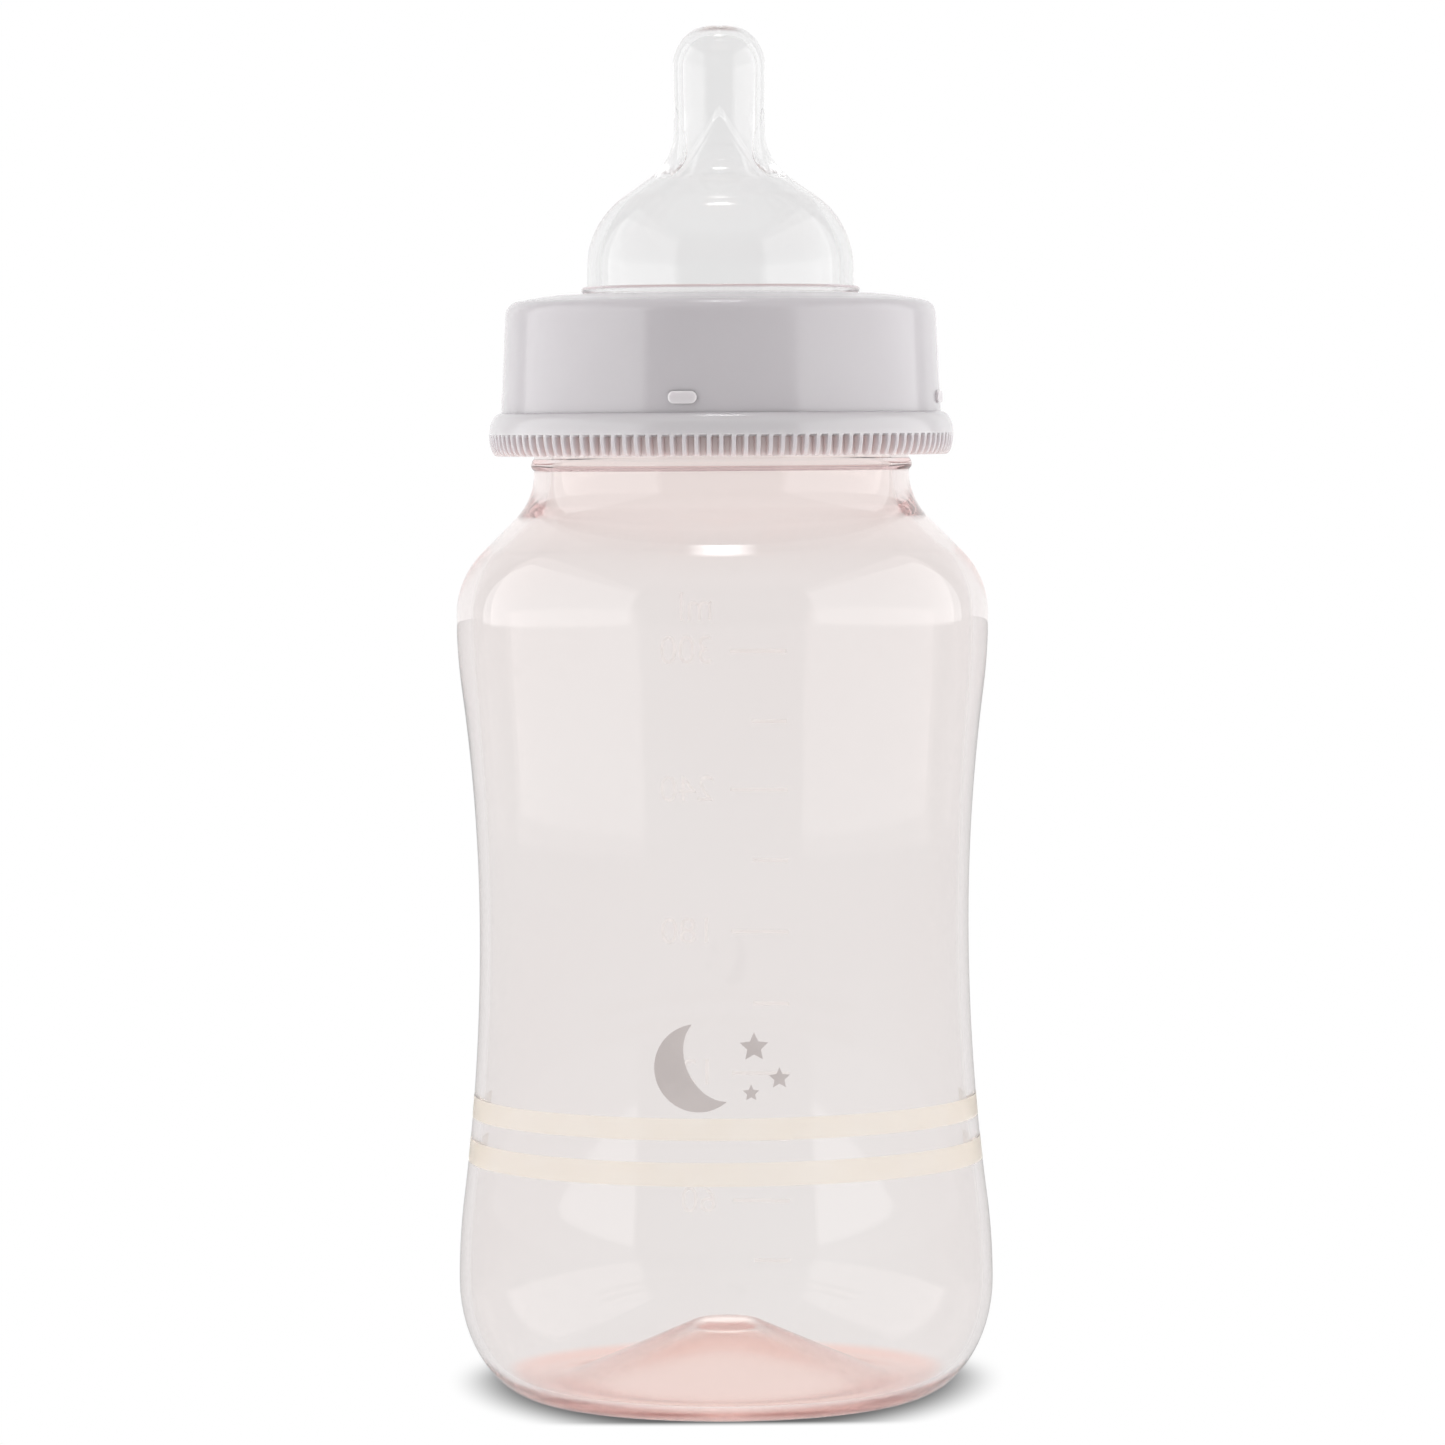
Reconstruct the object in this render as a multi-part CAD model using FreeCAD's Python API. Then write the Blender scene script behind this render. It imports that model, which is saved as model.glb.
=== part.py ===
import FreeCAD, Part
import math
import os

# A wide-neck feeding bottle: a blown bottle, a silicone teat and the screw ring that clamps the
# teat on the bottle's rim. Millimetres and degrees. Z = 0 is the table, the Z axis is the bottle's
# own axis, and -Y is the printed front.

# Bottle, outside
stand_radius = 24.0          # outer edge of the flat ring that the bottle stands on
stand_width = 2.4
foot_radius = 35.2           # widest place above the rounded foot
foot_height = 15.5
waist_radius = 32.2          # hand grip
lower_grip = 46.2            # from the foot's widest place up to the waist
shoulder_radius = 34.95
upper_grip = 41.5            # from the waist up to the widest shoulder
neck_radius = 24.65
shoulder_length = 18.5       # from the widest shoulder up to the upright neck
neck_length = 19.4           # from there up to the rim
grip_arc_share = 0.76        # share of each side's bend that belongs to the hollow grip
shoulder_steepness = 1.54    # steepest slope of the shoulder over its mean slope, from 1 to 2
shoulder_arc_share = 0.58    # share of the shoulder's bend that belongs to its rounded edge
neck_bead_rise = 1.1         # small bead that closes the gap under the ring, above the shoulder
neck_bead_half = 0.75
neck_bead_proud = 0.42
rim_rounding = 0.6

# Bottle, walls
body_wall = 1.3              # up to the waist, from where the wall thickens towards the shoulder
shoulder_wall = 2.1
neck_wall = 2.2
base_wall = 2.0
push_up_height = 7.9         # hollow under the base, at the axis
push_up_flat = 3.4           # radius of the flat middle of that hollow
push_up_steepness = 1.2
push_up_arc_share = 0.15

# Teat
teat_height = 39.05          # from the bottle's rim to the tip
flange_overlap = 0.35        # how far the flange reaches past the neck's outside
flange_thick = 2.2
flange_rounding = 0.5
dome_radius = 17.5
dome_top = 7.5               # height of the dome's upright side above the rim
dome_wall = 1.8
bead_proud = 0.8             # bead that keeps the teat in the ring
bead_thick = 0.9
seat_proud = 0.3             # seat inside the ring's hole, over the dome's radius
shaft_radius = 6.0
shaft_start = 25.4           # height above the rim where the shaft is upright
shaft_wall = 1.25
tip_bulge = 0.13             # the shaft swells by this much towards the tip
tip_edge_radius = 4.8
tip_crown = 0.75             # height of the tip's shallow cap
flare_steepness = 1.67
flare_arc_share = 0.6        # share of the flare's bend that belongs to the dome
feed_hole_radius = 0.4
petal_count = 4              # pointed ribs inside the shaft that keep it from collapsing
petal_thick = 0.45
petal_top = 28.5             # height of a petal's point above the rim
petal_length = 10.5
petal_foot_half = 6.2
vent_angle = 19.0            # from the front towards +X
vent_nub_radius = 1.5
vent_nub_length = 2.2
vent_hole_radius = 0.5
vent_slit = 0.25

# Screw ring
seat_gap = 0.1               # room between the teat's seat and the ring
lip_thick = 1.8
thread_room = 1.95           # radial room for the thread between neck and skirt
skirt_foot_rise = 2.3        # open end of the skirt above the shoulder
ring_wall_top = 1.65
ring_wall_bottom = 2.25
crown_drop = 0.85            # the ring's top falls by this much from the hole to its edge
top_edge_radius = 1.9
hole_edge_radius = 0.45
collar_height = 5.6          # the grip collar, up from the open end
collar_proud = 1.65
collar_edge_height = 2.8     # widest place of the collar, up from the open end
collar_foot_inset = 1.0
lead_in = 0.5
groove_count = 120
groove_width = 1.0
groove_depth = 1.1
groove_top = 2.6             # up from the open end
lug_count = 4                # small pads that hold a hood
lug_angle = -9.8             # first pad, from the front towards +X
lug_height = 7.5             # up from the open end
lug_width = 3.7
lug_tall = 1.6
lug_proud = 0.35

# Heights and radii that follow from the sizes above
waist_height = foot_height + lower_grip
shoulder_height = waist_height + upper_grip
neck_start = shoulder_height + shoulder_length
neck_bead_height = neck_start + neck_bead_rise
rim_height = neck_start + neck_length
flange_top = rim_height + flange_thick
ring_bottom = neck_start + skirt_foot_rise
lip_top = flange_top + lip_thick
neck_bore_radius = neck_radius - neck_wall
flange_radius = neck_radius + flange_overlap
seat_radius = dome_radius + seat_proud
hole_radius = seat_radius + seat_gap
bead_bottom = lip_top + seat_gap
bead_top = bead_bottom + bead_thick
skirt_radius = neck_radius + thread_room
dome_bore_radius = dome_radius - dome_wall
shaft_bore_radius = shaft_radius - shaft_wall
drum_top_radius = skirt_radius + ring_wall_top
drum_bottom_radius = skirt_radius + ring_wall_bottom
teat_tip = rim_height + teat_height

axis_foot = FreeCAD.Vector(0, 0, 0)
up = FreeCAD.Vector(0, 0, 1)
tiny = 1e-6


def at(radius, height):
    return FreeCAD.Vector(radius, 0, height)


def line(start, end):
    return Part.LineSegment(start, end).toShape()


def arc(start, middle, end):
    return Part.Arc(start, middle, end).toShape()


def rounded_corner(start, corner, end):
    # Arc that leaves start towards the corner and reaches end from it, for two legs of equal length.
    chord_middle = (start + end) * 0.5
    leg = (corner - start).Length
    half_chord = (end - start).Length / 2
    height = (corner - chord_middle).Length
    bulge = half_chord * (leg - half_chord) / height
    middle = chord_middle + (corner - chord_middle) * (bulge / height)
    return arc(start, middle, end)


def s_curve(start, end, steepness, first_share, upright=True):
    # An arc, a straight and an arc. Both ends run upright, or level where upright is False.
    along = end.z - start.z if upright else end.x - start.x
    across = end.x - start.x if upright else end.z - start.z
    if abs(across) < tiny:
        return [line(start, end)]
    lean = steepness * math.atan2(abs(across), abs(along))
    both = (abs(along) * math.sin(lean) - abs(across) * math.cos(lean)) / (1 - math.cos(lean))
    first = both * first_share
    second = both - first

    def offset(point, radius, turn, way):
        run = math.copysign(radius * math.sin(turn), along) * way
        step = math.copysign(radius * (1 - math.cos(turn)), across) * way
        return point + (at(step, run) if upright else at(run, step))

    leave = offset(start, first, lean, 1)
    arrive = offset(end, second, lean, -1)
    edges = [arc(start, offset(start, first, lean / 2, 1), leave)]
    if (arrive - leave).Length > tiny:
        edges.append(line(leave, arrive))
    edges.append(arc(arrive, offset(end, second, lean / 2, -1), end))
    return edges


def quarter_oval(level, side):
    # From a level tangent at one point to an upright tangent at the other, which lies further out.
    centre = at(level.x, side.z)
    if abs(level.z - side.z) > side.x - level.x:
        whole = Part.Ellipse(level, side, centre)
    else:
        whole = Part.Ellipse(side, level, centre)
    return Part.ArcOfEllipse(whole, 0, math.pi / 2).toShape()


def turned(edges):
    # Solid of revolution from the edges of a half section, given in any order.
    wire = Part.Wire(Part.__sortEdges__(edges))
    return Part.Face(wire).revolve(axis_foot, up, 360)


def around(shape, count, first_angle):
    # Copies of a shape that points to +X, spread evenly from an angle off the front.
    copies = []
    for i in range(count):
        copy = shape.copy()
        copy.rotate(axis_foot, up, first_angle - 90 + i * 360 / count)
        copies.append(copy)
    return copies


# Bottle

def grip_side(bottom, wall, top_wall):
    # The rounded foot and the hollow grip up to the shoulder, drawn in by the walls below and above.
    foot = at(foot_radius - wall, foot_height)
    waist = at(waist_radius - wall, waist_height)
    shoulder = at(shoulder_radius - top_wall, shoulder_height)
    edges = [quarter_oval(bottom, foot)]
    edges += s_curve(foot, waist, 2, 1 - grip_arc_share)
    edges += s_curve(waist, shoulder, 2, grip_arc_share)
    return edges


def bottle_outside():
    stand_inside = at(stand_radius - stand_width, 0)
    stand_edge = at(stand_radius, 0)
    apex = at(0, push_up_height)
    plateau_edge = at(push_up_flat, push_up_height)
    shoulder = at(shoulder_radius, shoulder_height)
    neck_foot = at(neck_radius, neck_start)
    bead_low = at(neck_radius, neck_bead_height - neck_bead_half)
    bead_nose = at(neck_radius + neck_bead_proud, neck_bead_height)
    bead_high = at(neck_radius, neck_bead_height + neck_bead_half)
    rim_side = at(neck_radius, rim_height - rim_rounding)
    rim_top = at(neck_radius - rim_rounding, rim_height)
    edges = [line(apex, plateau_edge)]
    edges += s_curve(plateau_edge, stand_inside, push_up_steepness, push_up_arc_share, upright=False)
    edges.append(line(stand_inside, stand_edge))
    edges += grip_side(stand_edge, 0, 0)
    edges += s_curve(shoulder, neck_foot, shoulder_steepness, shoulder_arc_share)
    edges.append(line(neck_foot, bead_low))
    edges.append(arc(bead_low, bead_nose, bead_high))
    edges.append(line(bead_high, rim_side))
    edges.append(rounded_corner(rim_side, at(neck_radius, rim_height), rim_top))
    edges.append(line(rim_top, at(0, rim_height)))
    edges.append(line(at(0, rim_height), apex))
    return edges


def bottle_inside():
    apex = at(0, push_up_height + base_wall)
    plateau_edge = at(push_up_flat, push_up_height + base_wall)
    trough = at(stand_radius + body_wall, base_wall)
    shoulder = at(shoulder_radius - shoulder_wall, shoulder_height)
    neck_foot = at(neck_bore_radius, neck_start)
    mouth = at(neck_bore_radius, rim_height - rim_rounding)
    mouth_edge = at(neck_bore_radius + rim_rounding, rim_height)
    edges = [line(apex, plateau_edge)]
    edges += s_curve(plateau_edge, trough, push_up_steepness, push_up_arc_share, upright=False)
    edges += grip_side(trough, body_wall, shoulder_wall)
    edges += s_curve(shoulder, neck_foot, shoulder_steepness, shoulder_arc_share)
    edges.append(line(neck_foot, mouth))
    edges.append(rounded_corner(mouth, at(neck_bore_radius, rim_height), mouth_edge))
    edges.append(line(mouth_edge, at(0, rim_height)))
    edges.append(line(at(0, rim_height), apex))
    return edges


def make_bottle():
    return turned(bottle_outside()).cut(turned(bottle_inside()))


# Teat

def teat_outside():
    flange_low = at(flange_radius, rim_height)
    flange_side = at(flange_radius, flange_top - flange_rounding)
    flange_edge = at(flange_radius - flange_rounding, flange_top)
    bead_radius = dome_radius + bead_proud
    bead_low = at(seat_radius, bead_bottom)
    bead_out = at(bead_radius - bead_thick / 2, bead_bottom)
    bead_nose = at(bead_radius, (bead_bottom + bead_top) / 2)
    bead_in = at(bead_radius - bead_thick / 2, bead_top)
    dome_foot = at(dome_radius, bead_top)
    dome_side = at(dome_radius, rim_height + dome_top)
    shaft_foot = at(shaft_radius, rim_height + shaft_start)
    tip_radius = shaft_radius + tip_bulge
    tip_side = at(tip_radius, teat_tip - tip_crown - tip_edge_radius)
    tip_edge = at(tip_radius - tip_edge_radius, teat_tip)
    edges = [line(at(0, rim_height), flange_low), line(flange_low, flange_side)]
    edges.append(rounded_corner(flange_side, at(flange_radius, flange_top), flange_edge))
    edges.append(line(flange_edge, at(seat_radius, flange_top)))
    edges.append(line(at(seat_radius, flange_top), bead_low))
    edges.append(line(bead_low, bead_out))
    edges.append(arc(bead_out, bead_nose, bead_in))
    edges.append(line(bead_in, dome_foot))
    edges.append(line(dome_foot, dome_side))
    edges += s_curve(dome_side, shaft_foot, flare_steepness, flare_arc_share)
    edges += s_curve(shaft_foot, tip_side, 2, 0.5)
    edges.append(quarter_oval(tip_edge, tip_side))
    edges.append(line(tip_edge, at(0, teat_tip)))
    edges.append(line(at(0, teat_tip), at(0, rim_height)))
    return edges


def teat_bore(inset):
    # The hollow of the teat, drawn in by an inset.
    bore = dome_bore_radius - inset
    shaft = shaft_bore_radius - inset
    dome_side = at(bore, rim_height + dome_top)
    shaft_foot = at(shaft, rim_height + shaft_start)
    tip_side = at(shaft + tip_bulge, teat_tip - tip_crown - tip_edge_radius)
    tip_edge = at(shaft + tip_bulge - (tip_edge_radius - shaft_wall), teat_tip - shaft_wall - inset)
    edges = [line(at(0, rim_height), at(bore, rim_height)), line(at(bore, rim_height), dome_side)]
    edges += s_curve(dome_side, shaft_foot, flare_steepness, flare_arc_share)
    edges += s_curve(shaft_foot, tip_side, 2, 0.5)
    edges.append(quarter_oval(tip_edge, tip_side))
    edges.append(line(tip_edge, at(0, tip_edge.z)))
    edges.append(line(at(0, tip_edge.z), at(0, rim_height)))
    return edges


def petals():
    # Thin pointed ribs on the inner wall, widest where the shaft meets the dome.
    point = rim_height + petal_top
    foot = point - petal_length
    corners = [(0, point), (petal_foot_half, foot), (-petal_foot_half, foot), (0, point)]
    outline = Part.makePolygon([FreeCAD.Vector(0, y, z) for y, z in corners])
    wedge = Part.Face(outline).extrude(FreeCAD.Vector(dome_radius, 0, 0))
    lining = turned(teat_bore(0)).cut(turned(teat_bore(petal_thick)))
    return [lining.common(one) for one in around(wedge, petal_count, 0)]


def vent():
    # A thin-walled nub under the flange with a slit end, and the hole that leads to it.
    centre = at((dome_bore_radius + neck_bore_radius) / 2, rim_height)
    nub = Part.makeCylinder(vent_nub_radius, vent_nub_length + tiny, centre, -up)
    nub_end = vent_nub_length - vent_nub_radius + vent_hole_radius
    hole = Part.makeCylinder(vent_hole_radius, nub_end + flange_thick, centre + up * flange_thick, -up)
    slit = Part.makeBox(vent_slit, 2 * vent_hole_radius, vent_nub_length)
    slit.translate(centre - FreeCAD.Vector(vent_slit / 2, vent_hole_radius, vent_nub_length))
    return [around(shape, 1, vent_angle)[0] for shape in (nub, hole, slit)]


def make_teat():
    nub, vent_hole, slit = vent()
    feed_hole = Part.makeCylinder(feed_hole_radius, teat_height, at(0, rim_height), up)
    teat = turned(teat_outside()).cut(turned(teat_bore(0)))
    teat = teat.fuse(petals() + [nub]).cut([feed_hole, vent_hole, slit])
    return teat.removeSplitter()


# Screw ring

def ring_section():
    hole_low = at(hole_radius, flange_top)
    hole_high = at(hole_radius, lip_top - hole_edge_radius)
    hole_edge = at(hole_radius + hole_edge_radius, lip_top)
    top_edge = at(drum_top_radius - top_edge_radius, lip_top - crown_drop)
    drum_top = at(drum_top_radius, lip_top - crown_drop - top_edge_radius)
    crown_middle = (hole_edge + top_edge) * 0.5 + up * (crown_drop / 4)
    collar_top = at(drum_bottom_radius, ring_bottom + collar_height)
    collar_radius = drum_bottom_radius + collar_proud
    collar_side = at(collar_radius, ring_bottom + collar_edge_height)
    collar_foot = at(collar_radius - collar_foot_inset, ring_bottom)
    skirt_foot = at(skirt_radius + lead_in, ring_bottom)
    skirt_low = at(skirt_radius, ring_bottom + lead_in)
    skirt_high = at(skirt_radius, flange_top)
    edges = [line(hole_low, hole_high)]
    edges.append(rounded_corner(hole_high, at(hole_radius, lip_top), hole_edge))
    edges.append(arc(hole_edge, crown_middle, top_edge))
    edges.append(quarter_oval(top_edge, drum_top))
    edges.append(line(drum_top, collar_top))
    edges.append(quarter_oval(collar_top, collar_side))
    edges.append(quarter_oval(collar_foot, collar_side))
    edges += [line(collar_foot, skirt_foot), line(skirt_foot, skirt_low)]
    edges += [line(skirt_low, skirt_high), line(skirt_high, hole_low)]
    return edges


def grip_grooves():
    collar_radius = drum_bottom_radius + collar_proud
    floor_radius = collar_radius - groove_depth
    groove = Part.makeBox(2 * groove_depth, groove_width, groove_top + collar_height)
    groove.translate(FreeCAD.Vector(floor_radius, -groove_width / 2, ring_bottom - collar_height))
    return around(groove, groove_count, 180 / groove_count)


def hood_lugs():
    # Pads with round ends that stand a little proud of the tapering drum.
    half = lug_width / 2 - lug_tall / 2
    middle = ring_bottom + lug_height
    share = (lug_height - collar_height) / (lip_top - crown_drop - ring_bottom - collar_height)
    drum_radius = drum_bottom_radius + (drum_top_radius - drum_bottom_radius) * share
    start = skirt_radius + ring_wall_top / 2
    reach = drum_radius + lug_proud - start
    bar = Part.makeBox(reach, 2 * half, lug_tall, FreeCAD.Vector(start, -half, middle - lug_tall / 2))
    along_x = FreeCAD.Vector(1, 0, 0)
    ends = []
    for side in (-half, half):
        centre = FreeCAD.Vector(start, side, middle)
        ends.append(Part.makeCylinder(lug_tall / 2, reach, centre, along_x))
    return around(bar.fuse(ends).removeSplitter(), lug_count, lug_angle)


def make_ring():
    ring = turned(ring_section()).fuse(hood_lugs())
    return ring.cut(grip_grooves())


os.makedirs("parts", exist_ok=True)
for name, shape in (("bottle", make_bottle()), ("teat", make_teat()), ("screw_ring", make_ring())):
    shape.exportStep("parts/" + name + ".step")
    print(name, "solids", len(shape.Solids), "valid", shape.isValid(), "volume", round(shape.Volume, 1))
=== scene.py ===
import math

import bmesh
import bpy
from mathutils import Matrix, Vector


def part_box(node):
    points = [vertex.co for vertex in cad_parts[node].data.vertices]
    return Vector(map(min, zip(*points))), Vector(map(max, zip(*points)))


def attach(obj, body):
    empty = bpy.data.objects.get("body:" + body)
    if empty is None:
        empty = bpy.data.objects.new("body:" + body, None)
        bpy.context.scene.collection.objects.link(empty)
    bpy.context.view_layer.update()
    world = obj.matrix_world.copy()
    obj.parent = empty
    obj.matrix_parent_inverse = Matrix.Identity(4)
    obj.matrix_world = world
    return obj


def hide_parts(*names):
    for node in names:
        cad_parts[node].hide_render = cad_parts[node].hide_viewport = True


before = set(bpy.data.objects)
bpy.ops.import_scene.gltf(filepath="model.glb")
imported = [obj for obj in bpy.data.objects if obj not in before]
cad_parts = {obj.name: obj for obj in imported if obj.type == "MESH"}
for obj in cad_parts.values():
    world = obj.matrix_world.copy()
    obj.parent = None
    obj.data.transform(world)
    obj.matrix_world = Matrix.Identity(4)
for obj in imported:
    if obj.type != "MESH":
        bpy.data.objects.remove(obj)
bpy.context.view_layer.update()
print("frame loaded:", sorted(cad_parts))

mm = 0.001          # the dictionaries hold millimetres, Blender works in metres
fullTurn = 2 * math.pi
near = 0.01         # places closer than this, in millimetres, count as the same
weld = 0.0015       # vertices closer than this, in millimetres, are merged
black, white = (0, 0, 0, 1), (1, 1, 1, 1)


# Outlines: half sections of the turned pieces, in millimetres

class Outline:
    def __init__(self, radius, height, step):
        self.points = [(radius, height)]
        self.step = step                      # rough distance between points

    def add(self, radius, height):
        lastRadius, lastHeight = self.points[-1]
        if math.hypot(radius - lastRadius, height - lastHeight) > near / 5:
            self.points.append((radius, height))

    def shares(self, length):
        count = max(3, math.ceil(length / self.step))
        return [i / count for i in range(1, count + 1)]

    def line(self, radius, height):
        startRadius, startHeight = self.points[-1]
        for share in self.shares(math.hypot(radius - startRadius, height - startHeight)):
            self.add(startRadius + (radius - startRadius) * share,
                     startHeight + (height - startHeight) * share)

    def corner(self, turnRadius, turnHeight, radius, height):
        # quarter round that leaves towards the corner and arrives from it
        startRadius, startHeight = self.points[-1]
        chord = math.hypot(radius - startRadius, height - startHeight)
        for share in self.shares(1.3 * chord):            # a little more than the arc's length
            leave = math.sin(share * math.pi / 2)
            arrive = 1 - math.cos(share * math.pi / 2)
            self.add(startRadius + (turnRadius - startRadius) * leave + (radius - turnRadius) * arrive,
                     startHeight + (turnHeight - startHeight) * leave + (height - turnHeight) * arrive)

    def bow(self, radius, height, bulge):
        # shallow curve that stands off its chord, to the right of its direction
        startRadius, startHeight = self.points[-1]
        across, along = radius - startRadius, height - startHeight
        length = math.hypot(across, along)
        for share in self.shares(length):
            off = 4 * share * (1 - share) * bulge / length
            self.add(startRadius + across * share + along * off, startHeight + along * share - across * off)

    def sway(self, radius, height, steepness, firstShare, upright=True):
        # an arc, a straight and an arc, with both ends upright, or level
        start, end = self.points[-1], (radius, height)
        run, side = (1, 0) if upright else (0, 1)
        along, across = end[run] - start[run], end[side] - start[side]
        lean = steepness * math.atan2(abs(across), abs(along))
        both = (abs(along) * math.sin(lean) - abs(across) * math.cos(lean)) / (1 - math.cos(lean))

        def place(point, arcRadius, turn, way):
            moved = list(point)
            moved[run] += math.copysign(arcRadius * math.sin(turn), along) * way
            moved[side] += math.copysign(arcRadius * (1 - math.cos(turn)), across) * way
            return moved

        first, second = both * firstShare, both * (1 - firstShare)
        for share in self.shares(first * lean):
            self.add(*place(start, first, lean * share, 1))
        self.line(*place(end, second, lean, -1))
        for share in self.shares(second * lean):
            self.add(*place(end, second, lean * (1 - share), -1))


# Modelling helpers

def turnPiece(name, points, steps):
    # one vertex pulled along the outline, then spun round the axis
    bpy.ops.object.select_all(action="DESELECT")
    bpy.ops.mesh.primitive_plane_add(size=mm)
    piece = bpy.context.object
    piece.name = piece.data.name = name
    bpy.ops.object.mode_set(mode="EDIT")
    bpy.ops.mesh.select_all(action="SELECT")
    bpy.ops.mesh.merge(type="CENTER")
    bpy.ops.transform.translate(value=(points[0][0] * mm, 0, points[0][1] * mm))
    for (lastRadius, lastHeight), (radius, height) in zip(points, points[1:]):
        move = ((radius - lastRadius) * mm, 0, (height - lastHeight) * mm)
        bpy.ops.mesh.extrude_vertices_move(TRANSFORM_OT_translate={"value": move})
    bpy.ops.mesh.select_all(action="SELECT")
    bpy.ops.mesh.spin(steps=steps // 8, angle=fullTurn / 8, center=(0, 0, 0), axis=(0, 0, 1))
    for share in (8, 4, 2):                   # an eighth is doubled to a quarter, a half and the whole
        bpy.ops.mesh.select_all(action="SELECT")
        bpy.ops.mesh.duplicate()
        bpy.ops.transform.rotate(value=fullTurn / share, orient_axis="Z", center_override=(0, 0, 0))
    tidyMesh()
    bpy.ops.object.mode_set(mode="OBJECT")
    return piece


def flatDisc(corners, radius):
    bpy.ops.object.select_all(action="DESELECT")
    bpy.ops.mesh.primitive_circle_add(vertices=corners, radius=radius * mm, fill_type="NGON")
    return bpy.context.object


def tidyMesh():
    bpy.ops.mesh.select_all(action="SELECT")
    bpy.ops.mesh.remove_doubles(threshold=weld * mm)
    bpy.ops.mesh.normals_make_consistent(inside=False)


def pick(piece, test):
    # in edit mode: selects the vertices whose place passes the test
    bpy.ops.mesh.select_mode(type="VERT")
    bpy.ops.mesh.select_all(action="DESELECT")
    shape = bmesh.from_edit_mesh(piece.data)
    for vert in shape.verts:
        if test(vert.co):
            vert.select_set(True)
    bmesh.update_edit_mesh(piece.data)


def swell(piece, name, height, weightOf):
    # paints a weight by place and pushes the surface out along its normals
    group = piece.vertex_groups.new(name=name)
    for vert in piece.data.vertices:
        weight = weightOf(vert)
        if weight > 0:
            group.add([vert.index], weight, "REPLACE")
    push = piece.modifiers.new(name, "DISPLACE")
    push.vertex_group = name
    push.strength = height * mm
    push.mid_level = 0
    applyModifiers(piece)
    piece.vertex_groups.clear()


def selectOnly(piece):
    bpy.ops.object.select_all(action="DESELECT")
    piece.select_set(True)
    bpy.context.view_layer.objects.active = piece


def applyModifiers(piece):
    selectOnly(piece)
    for modifier in list(piece.modifiers):
        bpy.ops.object.modifier_apply(modifier=modifier.name)


def smooth(piece, degrees=30):
    selectOnly(piece)
    bpy.ops.object.shade_smooth_by_angle(angle=math.radians(degrees))


def joined(parts, name):
    bpy.ops.object.select_all(action="DESELECT")
    for part in parts:
        part.select_set(True)
    bpy.context.view_layer.objects.active = parts[0]
    if len(parts) > 1:
        bpy.ops.object.join()
    parts[0].name = parts[0].data.name = name
    return parts[0]


def finishPiece(piece, body, material, node=None):
    piece.data.materials.clear()
    piece.data.materials.append(material)
    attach(piece, body)
    if node:
        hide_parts(node)
        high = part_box(node)[1]
        off = [max(corner[i] for corner in piece.bound_box) - high[i] for i in range(3)]
        print(piece.name, "off its CAD node by mm:", [round(length / mm, 3) for length in off])


def ease(value):
    # 0 to 1, soft at both ends
    value = max(0.0, min(1.0, value))
    return value * value * (3 - 2 * value)


# Shader maths: a socket that takes part in Python expressions

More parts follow.
